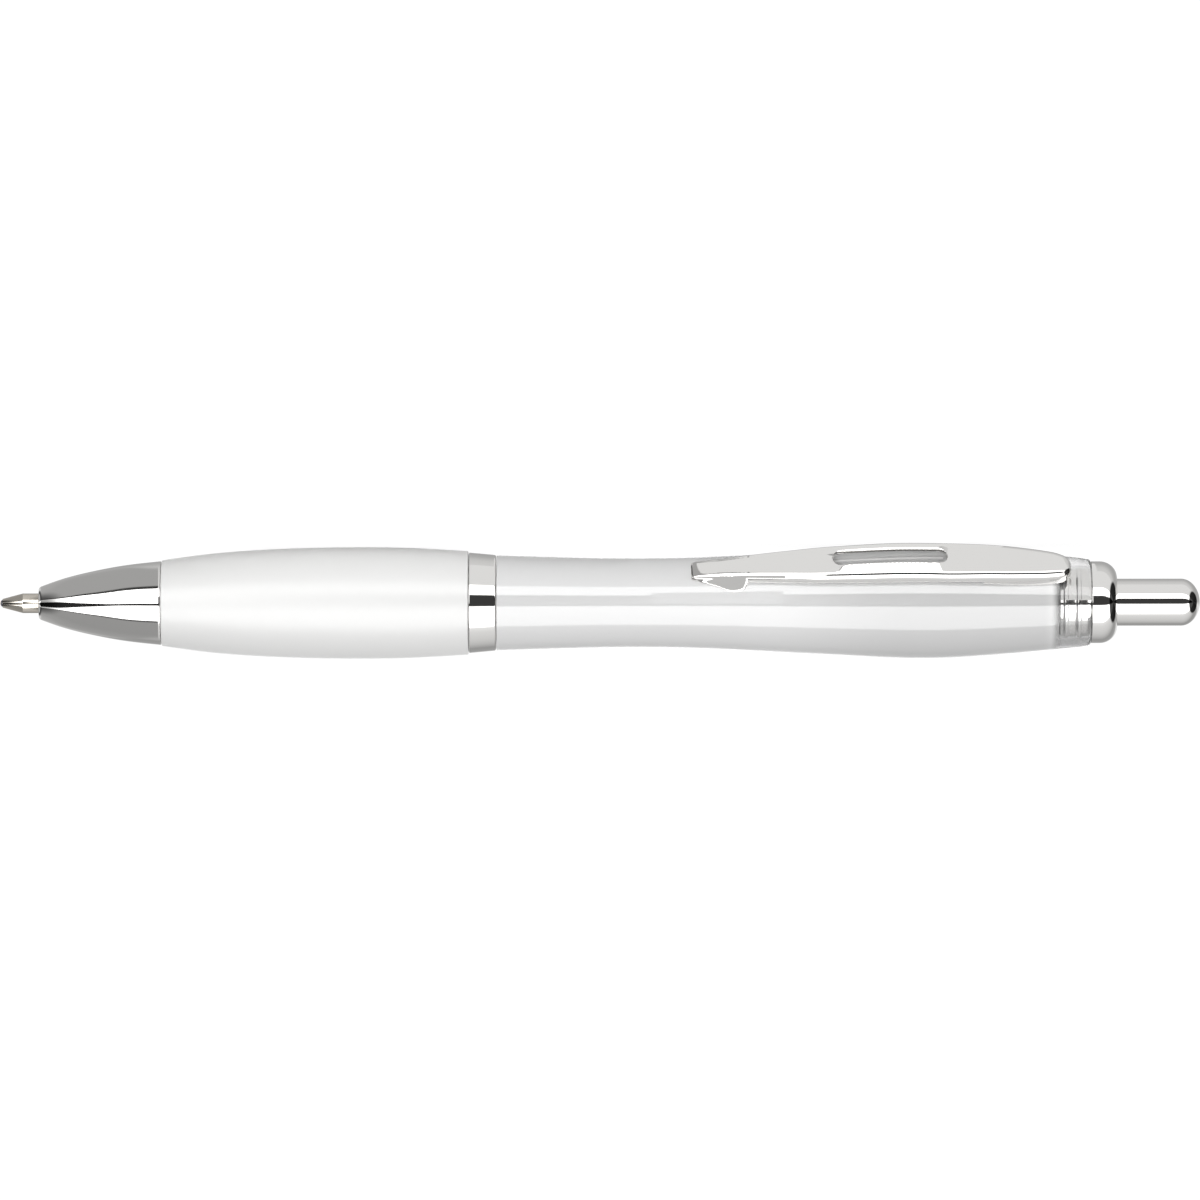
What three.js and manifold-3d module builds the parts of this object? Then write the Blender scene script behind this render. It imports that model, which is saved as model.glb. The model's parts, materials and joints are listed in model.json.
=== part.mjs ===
import * as THREE from "three";
import { mergeVertices } from "three/addons/utils/BufferGeometryUtils.js";
import Module from "manifold-3d";

const wasm = await Module();
wasm.setup();

// A retractable ballpoint pen. Sizes are in mm. Stations run along the pen, from the writing
// point at 0 to the end of the push button. The pen lies along X with its point towards +X.

// Lengths that show
const POINT_OUT = 4.5;
const NOSE_LENGTH = 14.3;
const GRIP_LENGTH = 35.8;
const RING_LENGTH = 3.2;
const BARREL_LENGTH = 69.25;
const COLLAR_LENGTH = 3.05;
const NOSE_THREAD = 6;
const BARREL_THREAD = 6.5;
const BUTTON_OUT = 9.7;
const SEAM = 0.05; // between pieces that meet end to end

// Outer radii
const NOSE_FRONT_R = 1.93;
const NOSE_BACK_R = 4.9;
const GRIP_FRONT_R = 5.0;
const BELLY_R = 6.5; // grip and barrel alike, so the pen lies level
const GRIP_BACK_R = 6.04;
const RING_R = 5.88;
const BARREL_FRONT_R = 5.55;
const WAIST_R = 5.19;
const BARREL_BACK_R = 5.1;
const COLLAR_R = 4.78;
const BUTTON_R = 2.75;

// Walls and fits
const BARREL_WALL = 0.89; // at the waist, over the threaded socket
const BARREL_BORE_R = 2.75; // round the refill
const CORE_WALL = 0.9;
const FIT = 0.1; // radial, between seated pieces
const RUN = 0.08; // radial, between sliding pieces
const SIDES = 32;
const INNER_SIDES = 24; // of pieces that nothing shows

// Refill
const BALL_R = 0.5;
const POINT_R = 1.15;
const POINT_CONE = 15; // degrees, half angle
const TUBE_R = 1.55;
const TUBE_BORE = 1.05;
const INK_LENGTH = 74;
const FOLLOWER_LENGTH = 3;

// Return spring
const WIRE_R = 0.2;
const SPRING_TURNS = 12;
const SPRING_LENGTH = 18; // with the point out

// Click mechanism
const TRAVEL = 5.5;
const OVERTRAVEL = 1.2;
const GROOVES = 4;
const FIN_HALF = 8; // degrees
const GROOVE_HALF = 10; // degrees
const CAM_R = 2.35;
const FIN_HEIGHT = 0.85;
const FIN_LENGTH = 4.4;
const STOP_RISE = 1.5; // depth of a stop tooth
const CROWN_RISE = 0.9; // depth of a cam or plunger tooth
const PLAY = 0.3; // axial, between cam and plunger, and cam and stops
const KEY_LENGTH = 2.2;
const SLEEVE_WALL = 0.55;
const SPIGOT_LENGTH = 3.9;

// Clip
const CLIP_LENGTH = 44.2;
const CLIP_BACK_OFFSET = 2.4; // clip end to barrel end
const CLIP_HALF_W = 2.7;
const SHEET = 0.45;
const FOLD_R = 0.6;
const CROWN = 0.12;
const SLOT_LENGTH = 13.4;
const SLOT_WIDTH = 2.25;
const SLOT_OFFSET = 16.4; // clip front to slot
const EAR_FLARE = 1.0;
const CLIP_GAP = 0.1; // where the clip seats on the barrel
const TONGUE_W = 2.2;

// Stations of the visible pieces
const noseFront = POINT_OUT;
const noseBack = noseFront + NOSE_LENGTH;
const gripFront = noseBack + SEAM;
const gripBack = gripFront + GRIP_LENGTH;
const ringFront = gripBack + SEAM;
const ringBack = ringFront + RING_LENGTH;
const barrelFront = ringBack + SEAM;
const barrelBack = barrelFront + BARREL_LENGTH;
const collarFront = barrelBack + SEAM;
const collarBack = collarFront + COLLAR_LENGTH;
const buttonBack = collarBack + BUTTON_OUT;

// Stations of the mechanism, worked back from the collar that stops the plunger keys
const spigotFront = barrelBack - SPIGOT_LENGTH;
const keyBack = spigotFront - TRAVEL - 0.4;
const keyFront = keyBack - KEY_LENGTH;
const plungerRoot = keyFront - 0.2;
const plungerFront = plungerRoot - CROWN_RISE;
const camTips = plungerFront - PLAY;
const camRoot = camTips - CROWN_RISE;
const finBack = camRoot - 0.7;
const finFront = finBack - FIN_LENGTH;
const camFront = finFront - 0.65;
const refillBack = camFront - 0.15;
const stopFront = finBack + PLAY;
const sleeveFront = finFront - 6;
const sleeveBack = spigotFront - 0.2;

// Radii of the inner pieces
const finR = CAM_R + FIN_HEIGHT;
const sleeveBore = finR + RUN;
const sleeveR = sleeveBore + SLEEVE_WALL;
const sleeveSocket = sleeveR + FIT;
const ribR = CAM_R + 2 * RUN;
const spigotSocket = sleeveSocket + 0.3;
const coreR = WAIST_R - BARREL_WALL;
const springR = TUBE_R + WIRE_R + 0.15;
const springPocket = springR + WIRE_R + 0.2;
const coreBore = springPocket + 0.15;
const threadR = coreBore + CORE_WALL;
const buttonBore = BUTTON_R - 0.65;
const stemR = buttonBore - RUN;

const at = (station) => buttonBack / 2 - station;
const turn = (degrees) => THREE.MathUtils.degToRad(degrees);

// A closed geometry as a solid that can be cut and joined.
function solid(geometry) {
  const bare = geometry.clone();
  bare.deleteAttribute("normal");
  bare.deleteAttribute("uv");
  const { index, attributes } = mergeVertices(bare, 1e-4);
  const kept = [];
  for (let i = 0; i < index.count; i += 3) {
    const [a, b, c] = [0, 1, 2].map((k) => index.getX(i + k));
    if (a !== b && b !== c && c !== a) kept.push(a, b, c);
  }
  return new wasm.Manifold(
    new wasm.Mesh({
      numProp: 3,
      vertProperties: Float32Array.from(attributes.position.array),
      triVerts: Uint32Array.from(kept),
    }),
  );
}

// A turned piece. The outside and the bore are lists of [station, radius] from front to back.
function turned(outside, bore = [], sides = SIDES) {
  const section = [...outside, ...bore.toReversed()];
  if (bore.length) section.push(section[0]);
  const points = section.reverse().map(([s, r]) => new THREE.Vector2(r, at(s)));
  return solid(new THREE.LatheGeometry(points, sides).rotateZ(-Math.PI / 2));
}

// A turned core without a bore, for the inner pieces.
const core = (outside) => turned(outside, [], INNER_SIDES);

// A smooth outline through a few [fraction of the length, radius] points.
function outline(front, back, marks, steps) {
  const points = marks.map(([f, r]) => new THREE.Vector2(front + f * (back - front), r));
  const most = Math.max(...marks.map(([, r]) => r));
  return new THREE.SplineCurve(points).getPoints(steps).map((p) => [p.x, Math.min(p.y, most)]);
}

// A quarter round from one [station, radius] corner to another, bulging outwards.
function round([s0, r0], [s1, r1], steps = 4) {
  const list = [];
  for (let i = 0; i <= steps; i++) {
    const a = (i / steps) * (Math.PI / 2);
    const rising = r1 > r0;
    const u = rising ? 1 - Math.cos(a) : Math.sin(a);
    const v = rising ? Math.sin(a) : 1 - Math.cos(a);
    list.push([s0 + (s1 - s0) * u, r0 + (r1 - r0) * v]);
  }
  return list;
}

// The value at a station, straight between listed [station, value] marks.
function along(marks, station) {
  const k = marks.findIndex(([s]) => s >= station);
  if (k <= 0) return k ? marks.at(-1)[1] : marks[0][1];
  const [[s0, v0], [s1, v1]] = [marks[k - 1], marks[k]];
  return v0 + ((v1 - v0) * (station - s0)) / (s1 - s0);
}

// A solid through rings of points, each counter-clockwise seen from before the first ring.
function loft(rings, closed = false) {
  const n = rings[0].length;
  const index = [];
  for (let k = 0; k < rings.length - (closed ? 0 : 1); k++) {
    const [a, b] = [k * n, ((k + 1) % rings.length) * n];
    for (let i = 0; i < n; i++) {
      const j = (i + 1) % n;
      index.push(a + i, b + i, b + j, a + i, b + j, a + j);
    }
  }
  const last = (rings.length - 1) * n;
  for (let i = 1; i < n - 1 && !closed; i++) {
    index.push(0, i, i + 1, last, last + i + 1, last + i);
  }
  const geometry = new THREE.BufferGeometry();
  geometry.setAttribute("position", new THREE.Float32BufferAttribute(rings.flat(2), 3));
  return solid(geometry.setIndex(index));
}

// A block between two radii. Rows are [degrees from the clip, front station, back station],
// and rows a full turn apart close into a ring.
function sector(inner, outer, rows) {
  const fine = [rows[0]];
  for (let k = 1; k < rows.length; k++) {
    const steps = Math.ceil((rows[k][0] - rows[k - 1][0]) / 12);
    for (let i = 1; i <= steps; i++) {
      fine.push(rows[k].map((v, c) => rows[k - 1][c] + ((v - rows[k - 1][c]) * i) / steps));
    }
  }
  const closed = rows.at(-1)[0] - rows[0][0] === 360;
  if (closed) fine.pop();
  const ring = ([degrees, front, back]) =>
    [[front, inner], [front, outer], [back, outer], [back, inner]].map(([s, r]) => [
      at(s),
      r * Math.sin(turn(degrees)),
      r * Math.cos(turn(degrees)),
    ]);
  return loft(fine.map(ring), closed);
}

// A block with its stations, its half width and its heights above the pen's axis.
function block(front, back, half, low, high) {
  const box = new THREE.BoxGeometry(back - front, 2 * half, high - low);
  return solid(box.translate(at((front + back) / 2), 0, (low + high) / 2));
}

const joined = (first, ...rest) => rest.reduce((a, b) => a.add(b), first);
const everyTurn = (count, make) => joined(...Array.from({ length: count }, (_, k) => make(k)));

// Nose cone, with a hole for the point, a pocket for the spring and a socket for the core
const pointHole = POINT_R + RUN;
const springSeat = noseFront + 4;
const threadFront = noseBack - NOSE_THREAD;
const noseSection = outline(
  noseFront + 0.2,
  noseBack,
  [
    [0, NOSE_FRONT_R],
    [0.16, 0.559 * NOSE_BACK_R],
    [0.41, 0.747 * NOSE_BACK_R],
    [0.67, 0.89 * NOSE_BACK_R],
    [1, NOSE_BACK_R],
  ],
  10,
);
const noseCone = turned(
  [...round([noseFront, NOSE_FRONT_R - 0.28], noseSection[0], 3), ...noseSection.slice(1)],
  [
    [noseFront, pointHole],
    [springSeat, pointHole],
    [springSeat, springPocket],
    [threadFront, springPocket],
    [threadFront, threadR + FIT],
    [noseBack, threadR + FIT],
  ],
);

// Front barrel, the core that the grip covers and both ends screw to
const threadBack = barrelFront + BARREL_THREAD;
const frontBarrel = turned(
  [
    [threadFront + 0.15, threadR - 0.3],
    [threadFront + 0.45, threadR],
    [noseBack + SEAM, threadR],
    [noseBack + SEAM, coreR - FIT],
    [threadBack - 0.3, coreR - FIT],
    [threadBack, coreR - 0.4],
  ],
  [
    [threadFront + 0.15, coreBore],
    [springSeat + SPRING_LENGTH + TRAVEL + 3, coreBore],
    [springSeat + SPRING_LENGTH + TRAVEL + 4, coreBore + 0.6],
    [threadBack, coreBore + 0.6],
  ],
  INNER_SIDES,
);

// Grip sleeve
const gripSleeve = turned(
  outline(
    gripFront,
    gripBack,
    [
      [0, GRIP_FRONT_R],
      [0.15, 0.88 * BELLY_R],
      [0.32, 0.954 * BELLY_R],
      [0.6, BELLY_R],
      [0.82, 0.985 * BELLY_R],
      [1, GRIP_BACK_R],
    ],
    15,
  ),
  [[gripFront, coreR], [gripBack, coreR]],
);

// Centre ring
const centreRing = turned(
  [
    ...round([ringFront, RING_R - 0.15], [ringFront + 0.2, RING_R], 2),
    ...round([ringBack - 0.2, BARREL_FRONT_R + 0.05], [ringBack, BARREL_FRONT_R - 0.08], 2),
  ],
  [[ringFront, coreR], [ringBack, coreR]],
);

// Rear barrel, with a slit for the tongue of the clip
const barrelOutline = outline(
  barrelFront,
  barrelBack - 1.2,
  [
    [0, BARREL_FRONT_R],
    [0.1, 1.029 * WAIST_R],
    [0.2, WAIST_R],
    [0.33, 1.0135 * WAIST_R],
    [0.46, 0.871 * BELLY_R],
    [0.6, 0.948 * BELLY_R],
    [0.74, BELLY_R],
    [0.85, 0.9415 * BELLY_R],
    [1, BARREL_BACK_R + 0.1],
  ],
  26,
);
const barrelR = (station) => along(barrelOutline, station);
const clipBack = barrelBack - CLIP_BACK_OFFSET;
const clipFront = clipBack - CLIP_LENGTH;
const tongueFront = clipBack - 5.35;
const tongueBack = tongueFront + 2.15;
const rearBarrelBody = turned(
  [
    ...barrelOutline,
    ...round([barrelBack - 0.7, BARREL_BACK_R], [barrelBack, BARREL_BACK_R - 0.25], 3),
  ],
  [
    [barrelFront, coreR],
    [threadBack + 0.4, coreR],
    [threadBack + 1.4, BARREL_BORE_R],
    [sleeveFront - 0.2, BARREL_BORE_R],
    [sleeveFront - 0.2, sleeveSocket],
    [sleeveBack, sleeveSocket],
    [sleeveBack, spigotSocket],
    [barrelBack, spigotSocket],
  ],
);

// End collar, with two snap beads on the spigot inside the barrel
const collarBore = BUTTON_R + RUN;
const spigotR = spigotSocket - FIT - 0.15;
const bead = (station) => [
  [station, spigotR],
  [station + 0.15, spigotR + 0.15],
  [station + 0.45, spigotR + 0.15],
  [station + 0.6, spigotR],
];
const endCollar = turned(
  [
    [spigotFront, spigotR - 0.2],
    [spigotFront + 0.2, spigotR],
    ...bead(spigotFront + 0.6),
    ...bead(spigotFront + 2.1),
    [collarFront, spigotR],
    [collarFront, COLLAR_R],
    ...round([collarBack - 1.6, COLLAR_R], [collarBack, COLLAR_R - 1.6], 5),
  ],
  [[spigotFront, collarBore], [collarBack, collarBore]],
);

// Guide sleeve. Four deep grooves let the cam fins and the plunger keys through. Between them,
// each rib ends in two stop teeth: the fins slide down the first and stand against its wall
// with the point out, and slide off the second into the next groove to draw the point in.
const ribHalf = 180 / GROOVES - GROOVE_HALF;
const toothSlope = STOP_RISE / (ribHalf + FIN_HALF);
const wallAt = FIN_HALF;
const rib = (k) => {
  const middle = (360 / GROOVES) * k;
  return sector(ribR, sleeveBore + SLEEVE_WALL / 2, [
    [middle - ribHalf, stopFront, sleeveBack],
    [middle + wallAt, stopFront + STOP_RISE, sleeveBack],
    [middle + wallAt + 1.5, stopFront, sleeveBack],
    [middle + ribHalf, stopFront + toothSlope * (ribHalf - wallAt - 1.5), sleeveBack],
  ]);
};
const tongueLow = ribR + 0.55;
const tongueTop = tongueLow + SHEET;
const guideSleeve = joined(
  turned(
    [[sleeveFront, sleeveR - 0.2], [sleeveFront + 0.3, sleeveR], [sleeveBack, sleeveR]],
    [[sleeveFront, sleeveBore], [sleeveBack, sleeveBore]],
    INNER_SIDES,
  ),
  everyTurn(GROOVES, rib),
).subtract(
  block(tongueFront - 0.4, tongueBack + 0.4, TONGUE_W / 2 + 0.3, tongueLow - 0.25, sleeveR + 1),
);

// Index cam, with fins in line with the grooves and a crown of slanted teeth
const grooveAt = (k) => (360 / GROOVES) * (k + 0.5);
const fin = (k) =>
  sector(CAM_R - 0.3, finR, [
    [grooveAt(k) - FIN_HALF, finFront, finBack - 2 * FIN_HALF * toothSlope],
    [grooveAt(k) + FIN_HALF, finFront, finBack],
  ]);
const crownTeeth = 2 * GROOVES;
const crownPitch = 360 / crownTeeth;
const camCrown = [];
for (let k = 0; k < crownTeeth; k++) {
  camCrown.push([k * crownPitch, camRoot - 0.5, camRoot]);
  camCrown.push([(k + 1) * crownPitch - 2, camRoot - 0.5, camTips]);
}
camCrown.push([360, camRoot - 0.5, camRoot]);
const pilotR = TUBE_BORE - 0.12;
const indexCam = joined(
  core([
    [camFront - 3, 0],
    [camFront - 3, pilotR - 0.2],
    [camFront - 2.7, pilotR],
    [camFront, pilotR],
    [camFront, CAM_R - 0.3],
    [camFront + 0.3, CAM_R],
    [camRoot, CAM_R],
    [camRoot, 0],
  ]),
  everyTurn(GROOVES, fin),
  sector(CAM_R - 1, CAM_R - 0.05, camCrown),
);

// Plunger, with keys that run in the grooves, and V teeth that push and turn the cam
const key = (k) =>
  sector(CAM_R - 0.3, finR, [
    [grooveAt(k) - FIN_HALF, keyFront, keyBack],
    [grooveAt(k) + FIN_HALF, keyFront, keyBack],
  ]);
const plungerCrown = [];
for (let k = 0; k <= 2 * crownTeeth; k++) {
  plungerCrown.push([(k * crownPitch) / 2, k % 2 ? plungerRoot : plungerFront, plungerRoot + 0.5]);
}
const capFront = spigotFront + OVERTRAVEL + 0.2;
const capWall = 1.5;
const plunger = joined(
  core([
    [plungerRoot, 0],
    [plungerRoot, CAM_R],
    [capFront - 0.2, CAM_R],
    [capFront - 0.2, stemR],
    [buttonBack - capWall - 0.4, stemR],
    [buttonBack - capWall - 0.1, stemR - 0.3],
    [buttonBack - capWall - 0.1, 0],
  ]),
  everyTurn(GROOVES, key),
  sector(CAM_R - 1, CAM_R - 0.05, plungerCrown),
);

// Push button, a drawn cap over the stem of the plunger
const BUTTON_ROUND = 1.45;
const pushButton = turned(
  [
    [capFront, BUTTON_R - 0.15],
    [capFront + 0.15, BUTTON_R],
    ...round([buttonBack - BUTTON_ROUND, BUTTON_R], [buttonBack, BUTTON_R - BUTTON_ROUND], 5),
    [buttonBack, 0],
    [buttonBack - capWall, 0],
    [buttonBack - capWall, buttonBore - 0.3],
    [buttonBack - capWall - 0.3, buttonBore],
    [capFront, buttonBore],
    [capFront, BUTTON_R - 0.15],
  ],
);

// Refill point, with a socket that holds the ball and a channel for the ink
const lipStation = 0.56 * BALL_R;
const lipR = 1.04 * BALL_R;
const coneBack = lipStation + (POINT_R - lipR) / Math.tan(turn(POINT_CONE));
const shoulder = springSeat + OVERTRAVEL + 0.2;
const tubeFront = shoulder + 0.5;
const seatGap = 0.03;
const socket = [];
for (const degrees of [26, 55, 90, 120, 145]) {
  const [a, r] = [turn(degrees), BALL_R + seatGap];
  socket.push([BALL_R - r * Math.cos(a), r * Math.sin(a)]);
}
socket[0] = [lipStation, Math.sqrt(BALL_R ** 2 - (BALL_R - lipStation) ** 2) + 0.02];
const channelR = socket.at(-1)[1];
const pointBody = turned(
  [
    [lipStation, lipR],
    [coneBack, POINT_R],
    [shoulder, POINT_R],
    [shoulder, TUBE_R - 0.05],
    [tubeFront - 0.05, TUBE_R - 0.05],
    [tubeFront - 0.05, TUBE_BORE - 0.04],
    [tubeFront + 4, TUBE_BORE - 0.1],
  ],
  [...socket, [tubeFront + 4, channelR]],
);

// Writing ball
const ballRows = 10;
const writingBall = turned(
  Array.from({ length: ballRows + 1 }, (_, k) => {
    const a = (Math.PI * k) / ballRows;
    return [BALL_R - BALL_R * Math.cos(a), k % ballRows ? BALL_R * Math.sin(a) : 0];
  }),
  [],
  16,
);

// Ink tube, with two pinched ears behind the spring
const earFront = springSeat + SPRING_LENGTH + 0.05;
const inkFront = tubeFront + 4.2;
const inkBack = inkFront + INK_LENGTH;
const rod = (front, back, radius) => core([[front, 0], [front, radius], [back, radius], [back, 0]]);
const inkTube = joined(
  rod(tubeFront, refillBack, TUBE_R),
  block(earFront, earFront + 1.6, springPocket - 0.15, -0.35, 0.35),
).subtract(rod(tubeFront - 1, refillBack + 1, TUBE_BORE));

// Ink column, and the grease plug that follows it
const inkColumn = rod(inkFront, inkBack, TUBE_BORE - 0.05);
const inkFollower = rod(inkBack + 0.02, inkBack + FOLLOWER_LENGTH, TUBE_BORE - 0.05);

// Return spring, one wire wound round the refill between the nose and the ears
class Helix extends THREE.Curve {
  getPoint(u) {
    const s = springSeat + WIRE_R + 0.05 + u * (SPRING_LENGTH - 2 * WIRE_R - 0.1);
    const a = u * SPRING_TURNS * 2 * Math.PI;
    return new THREE.Vector3(at(s), springR * Math.sin(a), springR * Math.cos(a));
  }
}
const wireShape = new THREE.Shape(new THREE.Path().absarc(0, 0, WIRE_R, 0, 2 * Math.PI).getPoints(3));
const returnSpring = solid(
  new THREE.ExtrudeGeometry(wireShape, { steps: 12 * SPRING_TURNS, extrudePath: new Helix() }),
);

// Pocket clip, a folded sheet: an outer form less an inner form, with a slot through the top.
// Its heights are given over the barrel under it, at [fraction of the length, half width, height].
const clipMarks = [
  [0, 0.42, 0.28],
  [0.004, 0.47, 0.56],
  [0.015, 0.51, 0.74],
  [0.06, 0.57, 0.95],
  [0.14, 0.67, 1.21],
  [0.25, 0.81, 1.38],
  [0.36, 0.93, 1.48],
  [0.525, 0.995, 1.53],
  [0.66, 1, 1.45],
  [0.81, 0.93, 1.67],
  [0.905, 0.81, 1.7],
  [0.952, 0.71, 1.7],
  [0.977, 0.6, 1.62],
  [0.993, 0.41, 1.36],
  [1, 0.18, 1.0],
];
const earMarks = [[0.015, 0], [0.06, 0.45], [0.11, 1], [0.135, 0.8], [0.152, 0]];
const gapMarks = [
  [0, 0],
  [0.14, 0],
  [0.152, 0.23],
  [0.25, 0.42],
  [0.36, 0.65],
  [0.62, 0.56],
  [0.767, 0.74],
  [0.769, 0.38],
  [0.81, 0.36],
  [0.905, 0],
  [1, 0],
];
const clipSpline = new THREE.CatmullRomCurve3(
  clipMarks.map(([f, w, h]) => new THREE.Vector3(f * CLIP_LENGTH, w * CLIP_HALF_W, h)),
);
const clipRows = clipSpline.getPoints(2 * (clipMarks.length - 1)).map((p) => [p.x, p.y, p.z]);
for (const f of [0.767, 0.769]) {
  const k = clipRows.findIndex(([s]) => s > f * CLIP_LENGTH);
  const [, w, h] = clipRows[k];
  clipRows.splice(k, 0, [f * CLIP_LENGTH, w, h]);
}

// A section of the clip: half a turn of the fold on each side, and flanges down to the barrel.
function clipSection([s, halfW, height], inset, drop) {
  const station = clipFront + s;
  const fraction = s / CLIP_LENGTH;
  const flare = EAR_FLARE * along(earMarks, fraction);
  const w = halfW - inset;
  const foot = w + flare;
  const under = barrelR(station);
  const reach = halfW + flare;
  const low = Math.sqrt(under ** 2 - reach ** 2) + along(gapMarks, fraction) - drop;
  const high = under + height - inset;
  const fold = Math.max(0.1, Math.min(FOLD_R - 0.7 * inset, 0.45 * (high - low - drop), 0.5 * w));
  const half = [[foot, low]];
  for (let i = 0; i <= 4; i++) {
    const a = (i * Math.PI) / 8;
    half.push([w - fold + fold * Math.cos(a), high - CROWN - fold + fold * Math.sin(a)]);
  }
  const other = half.map(([y, z]) => [-y, z]).reverse();
  return [...half, [0, high], ...other].map(([y, z]) => [at(station), y, z]);
}
const outerForm = loft(clipRows.map((row) => clipSection(row, 0, 0)));
const innerRows = clipRows.filter(([s]) => s > SHEET && s < CLIP_LENGTH - SHEET);
const innerForm = loft(innerRows.map((row) => clipSection(row, SHEET, 0.8)));
const slotPath = new THREE.Shape()
  .absarc(-SLOT_LENGTH / 2 + SLOT_WIDTH / 2, 0, SLOT_WIDTH / 2, Math.PI / 2, 1.5 * Math.PI)
  .absarc(SLOT_LENGTH / 2 - SLOT_WIDTH / 2, 0, SLOT_WIDTH / 2, -Math.PI / 2, Math.PI / 2);
const slotMiddle = at(clipFront + SLOT_OFFSET + SLOT_LENGTH / 2);
const slotCut = solid(
  new THREE.ExtrudeGeometry(slotPath, { depth: 3, bevelEnabled: false, curveSegments: 8 }).translate(
    slotMiddle,
    0,
    BELLY_R + 0.25,
  ),
);
const tongueRoot = barrelR(tongueFront) + 1.5;
const barrelSpace = turned([
  [barrelFront, 0],
  ...barrelOutline.map(([s, r]) => [s, r + CLIP_GAP]),
  [barrelOutline.at(-1)[0], 0],
]);
const pocketClip = joined(
  outerForm.subtract(innerForm).subtract(slotCut).subtract(barrelSpace),
  block(tongueFront, tongueFront + SHEET, TONGUE_W / 2, tongueLow, tongueRoot),
  block(tongueFront, tongueBack, TONGUE_W / 2, tongueLow, tongueTop),
);
const rearBarrel = (roll) =>
  rearBarrelBody.subtract(
    block(tongueFront - 0.4, tongueFront + 0.9, TONGUE_W / 2 + 0.3, 0, BELLY_R + 1).rotate([roll, 0, 0]),
  );

// The pen lies on its two bellies and on the fold of the clip. The droop below the horizontal
// is where the lowest point of the clip comes level with them.
const clipPoints = pocketClip.getMesh().vertProperties;
function lowest(droop) {
  let low = 0;
  for (let i = 0; i < clipPoints.length; i += 3) {
    const [y, z] = [Math.abs(clipPoints[i + 1]), clipPoints[i + 2]];
    low = Math.max(low, z * Math.sin(droop) + y * Math.cos(droop));
  }
  return low;
}
let [least, most] = [0, Math.PI / 2];
for (let i = 0; i < 40; i++) {
  const middle = (least + most) / 2;
  if (lowest(middle) < BELLY_R) least = middle;
  else most = middle;
}
const roll = 90 + THREE.MathUtils.radToDeg(least);

const chrome = { color: 0xd9d9dc, metalness: 1, roughness: 0.06 };
const rubber = { color: 0xf3f2ef, metalness: 0, roughness: 0.7 };
const clearWhite = { color: 0xf4f4f2, metalness: 0, roughness: 0.12 };
const whitePlastic = { color: 0xeeede8, metalness: 0, roughness: 0.45 };
const milkyTube = { color: 0xe6e4dc, metalness: 0, roughness: 0.35 };
const steel = { color: 0xb9b9bb, metalness: 1, roughness: 0.25 };
const carbide = { color: 0x8d8e92, metalness: 1, roughness: 0.1 };
const ink = { color: 0x15171c, metalness: 0, roughness: 0.3 };
const grease = { color: 0xd9c48a, metalness: 0, roughness: 0.3 };

const pieces = [
  ["nose_cone", noseCone, chrome],
  ["front_barrel", frontBarrel, whitePlastic],
  ["grip_sleeve", gripSleeve, rubber],
  ["centre_ring", centreRing, chrome],
  ["rear_barrel", rearBarrel(roll), clearWhite],
  ["end_collar", endCollar, chrome],
  ["guide_sleeve", guideSleeve.rotate([roll, 0, 0]), whitePlastic],
  ["return_spring", returnSpring, steel],
  ["pocket_clip", pocketClip.rotate([roll, 0, 0]), chrome],
  ["push_button", pushButton, chrome],
  ["plunger", plunger.rotate([roll, 0, 0]), whitePlastic],
  ["index_cam", indexCam.rotate([roll, 0, 0]), whitePlastic],
  ["refill_point", pointBody, steel],
  ["writing_ball", writingBall, carbide],
  ["ink_tube", inkTube, milkyTube],
  ["ink_column", inkColumn, ink],
  ["ink_follower", inkFollower, grease],
];

const pen = new THREE.Group();
pen.name = "ballpoint_pen";
for (const [name, piece, look] of pieces) {
  const { vertProperties, triVerts } = piece.getMesh();
  const geometry = new THREE.BufferGeometry();
  geometry.setAttribute("position", new THREE.BufferAttribute(vertProperties, 3));
  geometry.setIndex(new THREE.BufferAttribute(triVerts, 1));
  const mesh = new THREE.Mesh(geometry, new THREE.MeshStandardMaterial(look));
  mesh.name = name;
  pen.add(mesh);
}

// The origin is under the middle of the pen, on the surface that it lies on.
const bounds = new THREE.Box3().setFromObject(pen);
const middle = bounds.getCenter(new THREE.Vector3());
pen.position.set(-middle.x, -middle.y, -bounds.min.z);

export default pen;
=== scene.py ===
import json
import math

import bmesh
import bpy
import numpy as np
from mathutils import Matrix, Vector


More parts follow.
